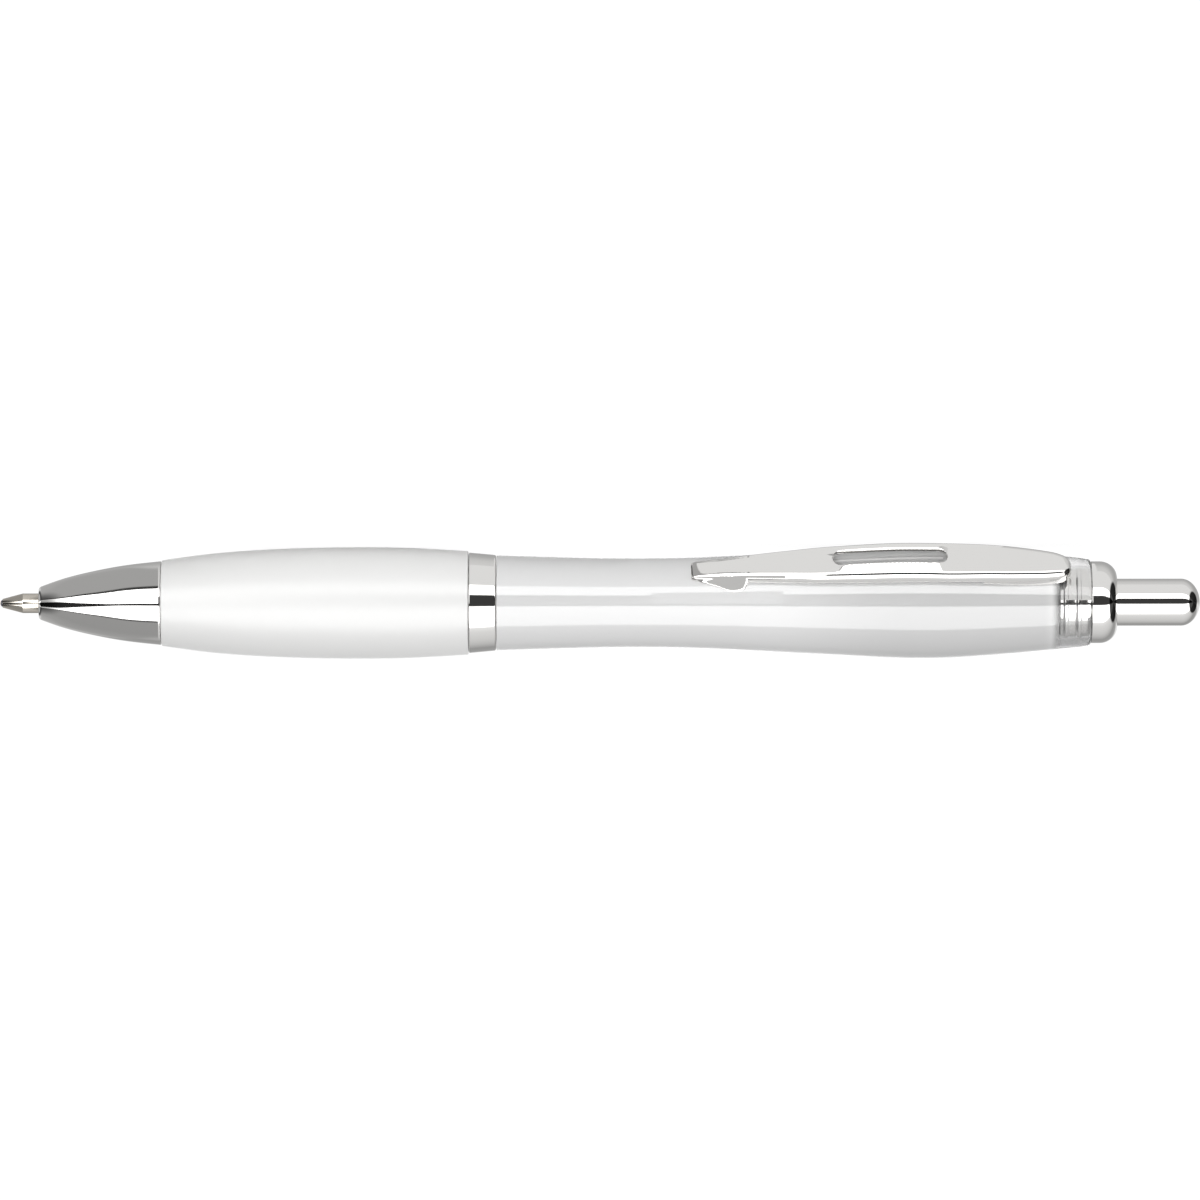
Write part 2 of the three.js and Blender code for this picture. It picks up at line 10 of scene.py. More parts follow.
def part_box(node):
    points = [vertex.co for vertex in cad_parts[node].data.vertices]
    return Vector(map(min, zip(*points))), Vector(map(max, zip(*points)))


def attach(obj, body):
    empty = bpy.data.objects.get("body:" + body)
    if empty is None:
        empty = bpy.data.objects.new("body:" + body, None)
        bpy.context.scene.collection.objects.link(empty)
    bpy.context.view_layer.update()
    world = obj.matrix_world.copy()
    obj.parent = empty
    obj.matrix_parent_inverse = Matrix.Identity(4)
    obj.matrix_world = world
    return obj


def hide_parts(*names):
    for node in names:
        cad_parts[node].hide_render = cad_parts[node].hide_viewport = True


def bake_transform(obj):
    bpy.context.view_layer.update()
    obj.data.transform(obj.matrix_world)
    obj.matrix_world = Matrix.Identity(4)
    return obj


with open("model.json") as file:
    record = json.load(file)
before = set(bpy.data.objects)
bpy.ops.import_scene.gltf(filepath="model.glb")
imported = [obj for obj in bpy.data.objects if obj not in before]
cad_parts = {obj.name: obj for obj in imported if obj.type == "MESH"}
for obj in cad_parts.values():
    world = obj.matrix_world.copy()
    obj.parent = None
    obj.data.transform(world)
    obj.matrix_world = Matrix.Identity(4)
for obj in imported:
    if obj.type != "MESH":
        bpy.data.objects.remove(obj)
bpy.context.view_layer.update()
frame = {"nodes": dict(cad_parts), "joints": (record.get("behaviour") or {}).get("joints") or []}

# Studio. The pen lies on a white table under soft light, and is seen from the side, upside down,
# with its writing point at the left of the picture. The camera looks slightly down at the pen.
MM = 0.001
PEN_LENGTH = 140.0
low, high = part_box("push_button")
AXIS = Vector((0, (low.y + high.y) / 2, (low.z + high.z) / 2))
CAMERA_RISE = math.radians(6.8)
CAMERA_ROLL = math.radians(-0.055)
CAMERA_AWAY = 1.28
AIM_OVER_AXIS = 0.32 * MM
FILM_WIDTH = 36.0
VIEW_WIDTH = 1.0005 * PEN_LENGTH * MM

back = Vector((0, -math.cos(CAMERA_RISE), math.sin(CAMERA_RISE)))
up = Vector((0, -math.sin(CAMERA_RISE), -math.cos(CAMERA_RISE)))
side = up.cross(back)
aim = AXIS + up * AIM_OVER_AXIS
camera = bpy.data.objects.new("camera", bpy.data.cameras.new("camera"))
camera.data.sensor_width = FILM_WIDTH
camera.data.lens = FILM_WIDTH * CAMERA_AWAY / VIEW_WIDTH
camera.data.clip_start = 0.01
turned = Matrix((side, up, back)).transposed() @ Matrix.Rotation(CAMERA_ROLL, 3, "Z")
camera.matrix_world = Matrix.Translation(aim + back * CAMERA_AWAY) @ turned.to_4x4()
bpy.context.scene.collection.objects.link(camera)
bpy.context.scene.camera = camera
bpy.context.scene.view_settings.view_transform = "Standard"


def add(tree, kind, inputs=None, **settings):
    """Adds a node of a kind, with its settings. Each named or numbered input gets its number or
    colour, or a link from a socket or from the first output of a node."""
    made = tree.nodes.new(kind)
    for name, setting in settings.items():
        setattr(made, name, setting)
    for key, given in (inputs or {}).items():
        source = given.outputs[0] if isinstance(given, bpy.types.Node) else given
        if isinstance(source, bpy.types.NodeSocket):
            tree.links.new(source, made.inputs[key])
        else:
            made.inputs[key].default_value = source
    return made


def colour(code):
    """The linear colour of an sRGB hex code."""
    s = np.array([int(code[i : i + 2], 16) for i in (1, 3, 5)]) / 255
    linear = np.where(s <= 0.04045, s / 12.92, ((s + 0.055) / 1.055) ** 2.4)
    return (*linear.tolist(), 1.0)


# Around the pen stand two long white light boxes, above and below the camera, with a dark gap
# between them, and grey walls, darker on the side that the nose faces. Only shiny and clear
# surfaces see them. Ramps over the height angle, 0 at the camera's horizon and 90 overhead, hold
# their brightness.
BOX = 2.7
MIDDLE = [
    (-180, 0.95), (-172, 0.5), (-150, 0.42), (-130, 0.5), (-110, 0.67), (-93, 0.74),
    (-56, 0.83), (-36, 0.88), (-34, BOX), (-12.5, BOX), (-11.5, 0.05), (15, 0.05),
    (16, BOX), (65, BOX), (67, 0.98), (80, 0.82), (105, 0.7), (120, 0.58),
    (139, 0.36), (165, 0.4), (180, 0.95),
]
NOSE_END = [
    (-180, 0.75), (-150, 0.5), (-120, 0.42), (-44, 0.42), (-41, 0.05), (-35, 0.05),
    (-34, BOX), (58, BOX), (59, 0.1), (62, 0.1), (64, 0.36), (110, 0.35),
    (140, 0.4), (165, 0.6), (180, 0.75),
]
GAP_HEIGHT, TIP_GAP_HEIGHT = 11.0, 17.0
GAP_EDGE = 0.6
GAP_LEVEL = 0.01
MATHS, STEP = "ShaderNodeMath", "ShaderNodeMapRange"

world = bpy.data.worlds.new("studio")
bpy.context.scene.world = world
world.use_nodes = True
sky = world.node_tree
sky.nodes.clear()
way = add(sky, "ShaderNodeTexCoord")
parts = add(sky, "ShaderNodeSeparateXYZ", {0: way.outputs["Generated"]})
reach = parts.outputs["X"]
forward = add(sky, MATHS, {0: 0.0, 1: parts.outputs["Y"]}, operation="SUBTRACT")
angle = add(sky, MATHS, {0: parts.outputs["Z"], 1: forward}, operation="ARCTAN2")
height = add(sky, MATHS, {0: angle, 1: 180 / math.pi}, operation="MULTIPLY")

# What changes along the pen goes smoothly from one number to another between two values of the
# reach, a direction's share along the pen: 1 straight ahead of its nose, -1 behind its button.
ALONG_PEN = {  # reach from and to, number before and after
    "box_height": (0.22, 0.62, 1.0, 0.66),  # share left of the boxes' height round the nose
    "gap_height": (0.25, 0.66, GAP_HEIGHT, TIP_GAP_HEIGHT),
    "gap_half": (0.36, 0.66, 3.2, 17.0),
    "nose_share": (0.13, 0.155, 0.0, 1.0),  # share of the nose's walls
    "tip_dim": (0.55, 0.7, 1.0, 0.15),  # dark round the tip
    "past_tip": (0.76, 0.88, 0.0, 1.0),  # and light again past it
    "end_dim": (-0.86, -0.8, 0.03, 1.0),  # dark behind the button
}
step = {}
for name, (near_end, far_end, start, stop) in ALONG_PEN.items():
    limits = {"From Min": near_end, "From Max": far_end, "To Min": start, "To Max": stop}
    step[name] = add(sky, STEP, {"Value": reach, **limits}, interpolation_type="SMOOTHSTEP")
from_centre = add(sky, MATHS, {0: height, 1: GAP_HEIGHT}, operation="SUBTRACT")
stretched = add(sky, MATHS, {0: from_centre, 1: step["box_height"]}, operation="DIVIDE")
nose_height = add(sky, MATHS, {0: stretched, 1: GAP_HEIGHT}, operation="ADD")
rings = []
for ring_height, levels in ((height, MIDDLE), (nose_height, NOSE_END)):
    share = add(sky, MATHS, {0: ring_height, 1: 1 / 360, 2: 0.5}, operation="MULTIPLY_ADD")
    ramp = add(sky, "ShaderNodeValToRGB", {"Fac": share})
    stops = ramp.color_ramp.elements
    for degrees, level in levels:
        spot = (degrees + 180) / 360
        stop = stops[-1] if spot == 1 else stops[0] if spot == 0 else stops.new(spot)
        stop.color = (level / BOX, level / BOX, level / BOX, 1)
    rings.append(add(sky, MATHS, {0: ramp, 1: BOX}, operation="MULTIPLY"))
from_gap = add(sky, MATHS, {0: height, 1: step["gap_height"]}, operation="SUBTRACT")
off_gap = add(sky, MATHS, {0: from_gap}, operation="ABSOLUTE")
past_gap = add(sky, MATHS, {0: off_gap, 1: step["gap_half"]}, operation="SUBTRACT")
limits = {"From Min": -GAP_EDGE, "From Max": GAP_EDGE, "To Min": GAP_LEVEL, "To Max": 1.0}
gap = add(sky, STEP, {"Value": past_gap, **limits}, interpolation_type="SMOOTHSTEP")
nose_walls = add(sky, MATHS, {0: rings[1], 1: gap}, operation="MULTIPLY")
walls = add(sky, "ShaderNodeMix", {0: step["nose_share"], 2: rings[0], 3: nose_walls})
tip = add(sky, MATHS, {0: step["tip_dim"], 1: step["past_tip"]}, operation="MAXIMUM")
ends = add(sky, MATHS, {0: tip, 1: step["end_dim"]}, operation="MULTIPLY")
walls = add(sky, MATHS, {0: walls, 1: ends}, operation="MULTIPLY")

# Dull surfaces see plain light from all sides, and the camera sees white.
PLAIN_LIGHT = 0.42
ray = add(sky, "ShaderNodeLightPath")
mirrored = {0: ray.outputs["Is Glossy Ray"], 1: ray.outputs["Is Transmission Ray"]}
shiny = add(sky, MATHS, mirrored, operation="MAXIMUM")
lit = add(sky, "ShaderNodeMix", {0: shiny, 2: PLAIN_LIGHT, 3: walls})
seen = add(sky, "ShaderNodeMix", {0: ray.outputs["Is Camera Ray"], 2: lit, 3: 1.0})
air = add(sky, "ShaderNodeBackground", {"Color": seen})
add(sky, "ShaderNodeOutputWorld", {"Surface": air})


def lamp(name, place, size, power):
    """A soft square lamp that points at the pen. Mirror surfaces see the walls instead of it."""
    light = bpy.data.lights.new(name, "AREA")
    light.shape = "SQUARE"
    light.size = size
    light.energy = power
    holder = bpy.data.objects.new(name, light)
    place = Vector(place)
    turn = place.to_track_quat("Z", "Y").to_matrix().to_4x4()
    holder.matrix_world = Matrix.Translation(place) @ turn
    holder.visible_glossy = False
    holder.visible_transmission = False
    bpy.context.scene.collection.objects.link(holder)


lamp("front_lamp", (0.2, -1.44, 0.12), 0.6, 14.2)
lamp("back_lamp", (-0.3, 1.25, 0.85), 0.8, 8.0)


def stage_sheet(name, corner, opposite):
    """A flat oblong of the stage between two opposite corners, with one side along X. Returns it
    with the empty node tree of its own material."""
    (x, y, z), (x2, y2, z2) = corner, opposite
    mesh = bpy.data.meshes.new(name)
    mesh.from_pydata([(x, y, z), (x2, y, z), (x2, y2, z2), (x, y2, z2)], [], [(0, 1, 2, 3)])
    mesh.update()
    made = bpy.data.objects.new(name, mesh)
    bpy.context.scene.collection.objects.link(made)
    paint = bpy.data.materials.new(name)
    paint.use_nodes = True
    paint.node_tree.nodes.clear()
    mesh.materials.append(paint)
    return made, paint.node_tree


# The table is white paper. Most of what the camera gets from it is plain white, and the rest is
# matt, so that the pen's shadow stays.
PLAIN_SHARE = 0.85
PLAIN_WHITE = 1.12  # with the matt share it makes white
table, tree = stage_sheet("table", (-5, -5, 0), (5, 5, 0))
table.active_material.name = "white_paper"
table.visible_glossy = False
ray = add(tree, "ShaderNodeLightPath")
straight = {0: ray.outputs["Is Camera Ray"], 1: ray.outputs["Is Transmission Ray"]}
direct = add(tree, MATHS, straight, operation="MAXIMUM")
share = add(tree, MATHS, {0: direct, 1: PLAIN_SHARE}, operation="MULTIPLY")
white = add(tree, "ShaderNodeEmission", {"Color": (1, 1, 1, 1), "Strength": PLAIN_WHITE})
matt = add(tree, "ShaderNodeBsdfDiffuse", {"Color": colour("#F4F4F4")})
both = add(tree, "ShaderNodeMixShader", {0: share, 1: matt, 2: white})
add(tree, "ShaderNodeOutputMaterial", {"Surface": both})

# Grey cards stand near the pen, and only mirror reflections show them: two low ones for the
# clip's top and flanges, and a small one close to its ears.
cards = {
    "grey_card": ((-0.2, -0.148, -0.1), (0.015, 0, -0.1), 0.86),
    "far_card": ((-0.06, 0, -0.1), (-0.004, 0.1, -0.1), 0.86),
    "ear_card": ((-0.021, -0.0085, 0.0046), (-0.006, -0.0085, 0.0078), 0.6),
}
for name, (corner, opposite, level) in cards.items():
    card, tree = stage_sheet(name, corner, opposite)
    for kind in ("camera", "diffuse", "transmission", "shadow", "volume_scatter"):
        setattr(card, "visible_" + kind, False)
    shine = add(tree, "ShaderNodeEmission", {"Color": (1, 1, 1, 1), "Strength": level})
    add(tree, "ShaderNodeOutputMaterial", {"Surface": shine})

# Nose cone. Brass turned on a lathe and plated with bright chrome. It is bored for the refill's
# point and its spring, and screws on to the front barrel. Stations, in mm, run back from the
# writing point.
POINT_OUT = 4.5
NOSE_BACK = 18.8
POINT_HOLE = 1.23
NOSE_RIM = 1.72
RIM_LENGTH = 0.2
SPRING_SEAT = 8.5
SPRING_POCKET = 2.3
THREAD_FRONT = 12.8
SOCKET_R = 3.45
nose_marks = [(0, 1.93), (0.16, 2.74), (0.41, 3.66), (0.67, 4.36), (1, 4.9)]


def spline(marks, x):
    """A natural cubic spline through (place, value) marks, at places x: one cubic in each span,
    with slope and bend the same on both sides of each mark, and no bend at the two ends."""
    px, py = np.array(marks, float).T
    h, d = np.diff(px), np.diff(py) / np.diff(px)
    n = len(px)
    rows = np.eye(n)
    rows[1:-1] = 0
    k = np.arange(1, n - 1)
    rows[k, k - 1], rows[k, k], rows[k, k + 1] = h[:-1], 2 * (h[:-1] + h[1:]), h[1:]
    bend = np.linalg.solve(rows, np.concatenate([[0], 6 * np.diff(d), [0]]))
    i = np.clip(np.searchsorted(px, x) - 1, 0, n - 2)
    t = np.asarray(x) - px[i]
    slope = d[i] - h[i] * (2 * bend[i] + bend[i + 1]) / 6
    return py[i] + slope * t + bend[i] / 2 * t**2 + (bend[i + 1] - bend[i]) / (6 * h[i]) * t**3


def eased(corners, radius, steps=5, closed=True):
    """A line with its sharp corners rounded: each is cut back by up to radius along both sides,
    and bridged by the curve (1-t)^2 a + 2t(1-t) corner + t^2 b."""
    p = np.array(corners, float)
    before, after = np.roll(p, 1, 0) - p, np.roll(p, -1, 0) - p
    la, lb = np.linalg.norm(before, axis=1), np.linalg.norm(after, axis=1)
    cosine = (before * after).sum(1) / (la * lb)
    sharp = (cosine > -0.97) & (p[:, 1] > 1e-6)
    if not closed:
        sharp[[0, -1]] = False
    cut = np.minimum(radius, np.minimum(la, lb) * 0.45)[:, None]
    a, b = p + before / la[:, None] * cut, p + after / lb[:, None] * cut
    t = np.linspace(0, 1, steps)[None, :, None]
    curve = (1 - t) ** 2 * a[:, None] + 2 * t * (1 - t) * p[:, None] + t**2 * b[:, None]
    curve[~sharp, 0] = p[~sharp]
    return curve[sharp[:, None] | (np.arange(steps) == 0)[None]]


def piece(name, points, faces, material, smooth=35):
    """A mesh object of points in metres, with doubles merged, faces pointing outwards, and
    smooth shading up to an angle in degrees."""
    mesh = bpy.data.meshes.new(name)
    mesh.from_pydata(points.tolist(), [], faces.tolist())
    work = bmesh.new()
    work.from_mesh(mesh)
    bmesh.ops.remove_doubles(work, verts=work.verts, dist=2e-7)
    bmesh.ops.dissolve_degenerate(work, edges=work.edges, dist=1e-7)
    bmesh.ops.recalc_face_normals(work, faces=work.faces)
    work.to_mesh(mesh)
    work.free()
    mesh.polygons.foreach_set("use_smooth", np.ones(len(mesh.polygons), bool))
    mesh.set_sharp_from_angle(angle=math.radians(smooth))
    mesh.materials.append(material)
    made = bpy.data.objects.new(name, mesh)
    bpy.context.scene.collection.objects.link(made)
    return made


def quads_of(rows, columns, wrap_rows=False, wrap_columns=False):
    """The quads between neighbouring rows and columns of a grid of points, wrapped if asked."""
    i, j = np.arange(rows - (not wrap_rows)), np.arange(columns - (not wrap_columns))
    i, j = np.meshgrid(i, j, indexing="ij")
    k, m = (i + 1) % rows, (j + 1) % columns
    quads = np.stack([i * columns + j, i * columns + m, k * columns + m, k * columns + j], -1)
    return quads.reshape(-1, 4)


def lathe(profile, sides=128, start=0.0, cut=0.0):
    """A profile of (station, radius) carried round the pen's axis, with r the radius less a cut,
    which may differ from point to point: the station runs back from the writing point at the
    +X end, and the point is (length/2 - station, r cos a, r sin a)."""
    s, r = np.array(profile, float).T
    r = r[:, None] - cut
    a = start + np.arange(sides) * 2 * math.pi / sides
    x = np.repeat((PEN_LENGTH / 2 - s)[:, None], sides, 1)
    return np.stack([x, r * np.cos(a), r * np.sin(a)], -1) * MM + np.array(AXIS)


def turned_piece(name, profile, material, closed=True, sides=128):
    """A piece turned from a profile: a ring if the profile is closed, or else a solid whose
    profile begins and ends on the axis."""
    grid = lathe(profile, sides)
    faces = quads_of(len(profile), sides, closed, True)
    return piece(name, grid.reshape(-1, 3), faces, material)


def finish(name, code, size, depth, roughness, spread, detail=2.0, metallic=0.0, **sockets):
    """A named material of one colour. Noise over the Object coordinates, one grain to each size
    in mm, bumps the surface by depth in mm and spreads the roughness to either side of its
    value. What is the same all over is set on the shader's own sockets."""
    made = bpy.data.materials.new(name)
    made.use_nodes = True
    tree = made.node_tree
    shader = tree.nodes["Principled BSDF"]
    values = {"Base Color": colour(code), "Metallic": metallic}
    values.update({key.replace("_", " "): value for key, value in sockets.items()})
    for key, value in values.items():
        shader.inputs[key].default_value = value
    where = add(tree, "ShaderNodeTexCoord").outputs["Object"]
    scale = {"Vector": where, "Scale": 1 / (size * MM), "Detail": detail}
    grain = add(tree, "ShaderNodeTexNoise", scale)
    limits = {"To Min": roughness - spread, "To Max": roughness + spread}
    rough = add(tree, STEP, {"Value": grain, "From Min": 0.3, "From Max": 0.7, **limits})
    height = {"Height": grain, "Distance": depth * MM, "Strength": 1.0}
    bump = add(tree, "ShaderNodeBump", height)
    tree.links.new(rough.outputs[0], shader.inputs["Roughness"])
    tree.links.new(bump.outputs[0], shader.inputs["Normal"])
    return made


# Bright chrome plate over polished brass: a mirror, faintly warm, with a trace of handling haze
# in patches of about 6 mm that a polished plated surface picks up.
chrome = finish(
    "chrome_plate_polished",
    "#E9E8E6",
    size=6.0,
    depth=0.0004,
    roughness=0.05,
    spread=0.02,
    detail=3.0,
    metallic=1.0,
)

share = np.linspace(0, 1, 49)
skin_front = POINT_OUT + RIM_LENGTH
skin = [skin_front + share * (NOSE_BACK - skin_front), spline(nose_marks, share)]
profile = [
    (POINT_OUT, POINT_HOLE),
    (POINT_OUT, NOSE_RIM),
    *np.stack(skin, 1),
    (NOSE_BACK, SOCKET_R),
    (THREAD_FRONT, SOCKET_R),
    (THREAD_FRONT, SPRING_POCKET),
    (SPRING_SEAT, SPRING_POCKET),
    (SPRING_SEAT, POINT_HOLE),
]
nose_cone = turned_piece("nose_cone_plated", eased(profile, 0.16), chrome)
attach(nose_cone, "barrel")
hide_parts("nose_cone")

# Refill point. Nickel silver, turned in one piece on an automatic lathe: a slender cone with a
# lip rolled over the ball, a plain neck and a shoulder that stops the ink tube. The metal is
# yellowish, and fine turning marks of 0.25 mm dull it a little.
POINT_R = 1.15
SHOULDER_R = 1.5
TUBE_BORE = 1.05
metal = finish(
    "nickel_silver_turned",
    "#D2CCC2",
    size=0.25,
    depth=0.0004,
    roughness=0.1,
    spread=0.03,
    metallic=1.0,
)
profile = [
    (0.28, 0.47),
    (0.28, 0.52),
    (2.63, POINT_R),
    (9.9, POINT_R),
    (9.9, SHOULDER_R),
    (10.35, SHOULDER_R),
    (10.35, TUBE_BORE - 0.04),
    (14.4, TUBE_BORE - 0.1),
    (14.4, 0.3),
    (0.94, 0.3),
    (0.76, 0.46),
    (0.5, 0.53),
]
refill_point = turned_piece("refill_point_turned", eased(profile, 0.06, 3), metal, sides=96)
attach(refill_point, "refill")
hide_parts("refill_point")

# Writing ball. Tungsten carbide, ground and lapped to 1 mm, free to roll in the rolled lip. It is
# a dark grey mirror, dulled by a trace of ink in its pores.
BALL_R = 0.5
carbide = finish(
    "tungsten_carbide_lapped",
    "#8F9096",
    size=0.08,
    depth=0.0003,
    roughness=0.22,
    spread=0.08,
    metallic=1.0,
)
a = np.linspace(0, math.pi, 33)
profile = np.stack([BALL_R - BALL_R * np.cos(a), BALL_R * np.sin(a)], 1)
profile[[0, -1], 1] = 0
writing_ball = turned_piece("writing_ball_ground", profile, carbide, closed=False, sides=64)
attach(writing_ball, "ball")
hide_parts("writing_ball")

# Grip sleeve. Soft white rubber, moulded in a spark-eroded tool, and pushed over the front barrel
# between the nose and the ring.
GRIP_FRONT = 18.85
GRIP_BACK = 54.65
BELLY_R = 6.5
CORE_BORE_R = 4.3
grip_marks = [(0, 5.0), (0.15, 5.72), (0.32, 6.2), (0.6, 6.5), (0.82, 6.4), (1, 6.04)]

# Silicone rubber from an eroded mould: a fine matt grain of 0.22 mm, which spreads each highlight
# over the whole side, and a soft sheen at the edges.
rubber = finish(
    "silicone_rubber_moulded",
    "#FBFBFA",
    size=0.22,
    depth=0.005,
    roughness=0.33,
    spread=0.05,
    Specular_IOR_Level=1.0,
    Sheen_Weight=0.5,
    Sheen_Roughness=0.3,
)
share = np.linspace(0, 1, 97)
stations = GRIP_FRONT + share * (GRIP_BACK - GRIP_FRONT)
skin = np.stack([stations, np.minimum(spline(grip_marks, share), BELLY_R)], 1)
profile = [(GRIP_FRONT, CORE_BORE_R), *skin, (GRIP_BACK, CORE_BORE_R)]
grip_sleeve = turned_piece("grip_sleeve_moulded", eased(profile, 0.25), rubber)
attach(grip_sleeve, "barrel")
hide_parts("grip_sleeve")

# Front barrel. White ABS, moulded as the core that the grip covers, with a thread at each end for
# the nose cone and the rear barrel. The satin mould leaves it half dull.
THREAD_PITCH = 0.75
THREAD_DEPTH = 0.14
CORE_FRONT, CORE_BACK = 12.95, 64.45
CORE_BORE = 2.45
CORE_BACK_BORE = 3.05
NOSE_THREAD_R, BARREL_THREAD_R = 3.35, 4.2
THREAD_STEP = 0.094
THREAD_SIDES = 96
abs_white = finish(
    "abs_moulded_white", "#F1F0EB", size=0.6, depth=0.003, roughness=0.42, spread=0.05
)
nose_thread = np.arange(13.25, 18.6, THREAD_STEP)
barrel_thread = np.arange(58.6, 64.1, THREAD_STEP)
profile = np.array(
    [
        (CORE_FRONT, CORE_BORE),
        (CORE_FRONT, 3.05),
        *np.stack([nose_thread, 0 * nose_thread + NOSE_THREAD_R], 1),
        (GRIP_FRONT, NOSE_THREAD_R),
        (GRIP_FRONT, BARREL_THREAD_R),
        *np.stack([barrel_thread, 0 * barrel_thread + BARREL_THREAD_R], 1),
        (CORE_BACK, 3.9),
        (CORE_BACK, CORE_BACK_BORE),
        (36.0, CORE_BACK_BORE),
        (35.0, CORE_BORE),
    ]
)

# The threads' cut is depth times (1 + cos(turn angle + a full turn for each pitch)) / 2, which
# makes one true helix, on the outside of both threaded ends.
s, r = profile.T
a = np.arange(THREAD_SIDES) * 2 * math.pi / THREAD_SIDES
wave = (1 + np.cos(a + s[:, None] * 2 * math.pi / THREAD_PITCH)) / 2
on_thread = (s > 13.3) & (s < 18.5) & (r > 3.1)
on_thread |= (s > 58.6) & (s < 64.1) & (r > 3.5)
grid = lathe(profile, THREAD_SIDES, cut=THREAD_DEPTH * on_thread[:, None] * wave)
faces = quads_of(len(profile), THREAD_SIDES, True, True)
front_barrel = piece("front_barrel_moulded", grid.reshape(-1, 3), faces, abs_white, 50)
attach(front_barrel, "barrel")
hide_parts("front_barrel")

# Return spring. Music wire, cold coiled round the refill: closed turns at both ends and open
# turns between them. In the pen it shortens as the refill slides back; here it is coiled at one
# length. Drawing leaves the steel grey with a fine broken gloss.
WIRE_R = 0.2
COIL_R = 1.9
SPRING_TURNS = 12
SPRING_BACK = 26.5
SEAT_GAP = 0.05
CLOSED_SHARE = 0.12  # of all the turns, at each end
CLOSED_RISE = 0.05  # of the length, over those
WIRE_SIDES = 10
wire = finish(
    "music_wire_drawn",
    "#A9A9AC",
    size=0.15,
    depth=0.0006,
    roughness=0.28,
    spread=0.06,
    metallic=1.0,
)
u = np.linspace(0, 1, 577)
turns = SPRING_TURNS * u * 2 * math.pi
rise = np.interp(
    u, [0, CLOSED_SHARE, 1 - CLOSED_SHARE, 1], [0, CLOSED_RISE, 1 - CLOSED_RISE, 1]
)
front_end = SPRING_SEAT + WIRE_R + SEAT_GAP
back_end = SPRING_BACK - WIRE_R - SEAT_GAP
x = PEN_LENGTH / 2 - (front_end + rise * (back_end - front_end))
centre = np.stack([x, COIL_R * np.sin(turns), COIL_R * np.cos(turns)], 1)
ahead = np.gradient(centre, axis=0)
ahead /= np.linalg.norm(ahead, axis=1)[:, None]
outward = np.stack([0 * turns, np.sin(turns), np.cos(turns)], 1)
across = np.cross(ahead, outward)
a = (np.arange(WIRE_SIDES) * 2 * math.pi / WIRE_SIDES)[None, :, None]
tube = centre[:, None] + WIRE_R * (np.cos(a) * outward[:, None] + np.sin(a) * across[:, None])
caps = [np.repeat(centre[[end], None], WIRE_SIDES, 1) for end in (0, -1)]
tube = np.concatenate([caps[0], tube, caps[1]])
points = tube.reshape(-1, 3) * MM + np.array(AXIS)
faces = quads_of(len(tube), WIRE_SIDES, False, True)
return_spring = piece("return_spring_coiled", points, faces, wire, 50)
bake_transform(return_spring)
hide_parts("return_spring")

# Centre ring. Turned brass with the same chrome plate as the nose, held between the grip and the
# rear barrel when the two halves are screwed together.
RING_FRONT, RING_BACK = 54.7, 57.9
profile = [
    (RING_FRONT, CORE_BORE_R),
    (RING_FRONT, 5.88),
    (RING_BACK - 0.15, 5.6),
    (RING_BACK, 5.47),
    (RING_BACK, CORE_BORE_R),
]
centre_ring = turned_piece("centre_ring_plated", eased(profile, 0.12), chrome)
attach(centre_ring, "barrel")
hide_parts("centre_ring")

# Ink tube. Extruded polypropylene, with two ears pinched out of it behind the spring. The plastic
# is waxy: pale, half dull, with faint waves from the die about 1.2 mm wide.
TUBE_FRONT, TUBE_BACK = 10.4, 107.0
TUBE_R = 1.55
EAR_FRONT, EAR_BACK, EAR_REACH = 26.55, 28.15, 2.15
EAR_EASE = 0.25
TUBE_SIDES = 96
tube_plastic = finish(
    "polypropylene_extruded", "#E4E2DA", size=1.2, depth=0.002, roughness=0.35, spread=0.06
)
along_ears = np.linspace(26, 28.7, 28)
stations = np.unique(np.concatenate([np.linspace(TUBE_FRONT, TUBE_BACK, 60), along_ears]))
skin = np.stack([stations, np.full(len(stations), TUBE_R)], 1)
profile = [(TUBE_FRONT, TUBE_BORE), *skin, (TUBE_BACK, TUBE_BORE)]
grid = lathe(profile, TUBE_SIDES)
off = grid - np.array(AXIS)
station = PEN_LENGTH / 2 - off[..., 0] / MM
angle = np.arctan2(off[..., 2], off[..., 1])
lobe = np.clip(np.abs(np.cos(angle)) * 6 - 5, 0, 1) ** 0.5
from_middle = np.abs(station - (EAR_FRONT + EAR_BACK) / 2)
rows = np.clip(((EAR_BACK - EAR_FRONT) / 2 - from_middle) / EAR_EASE, 0, 1)
outer = np.hypot(off[..., 1], off[..., 2]) > (TUBE_R + TUBE_BORE) / 2 * MM
grow = 1 + outer * rows * lobe * (EAR_REACH / TUBE_R - 1)
off[..., 1:] *= grow[..., None]
points = (off + np.array(AXIS)).reshape(-1, 3)
faces = quads_of(len(profile), TUBE_SIDES, True, True)
ink_tube = piece("ink_tube_extruded", points, faces, tube_plastic)
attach(ink_tube, "refill")
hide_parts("ink_tube")

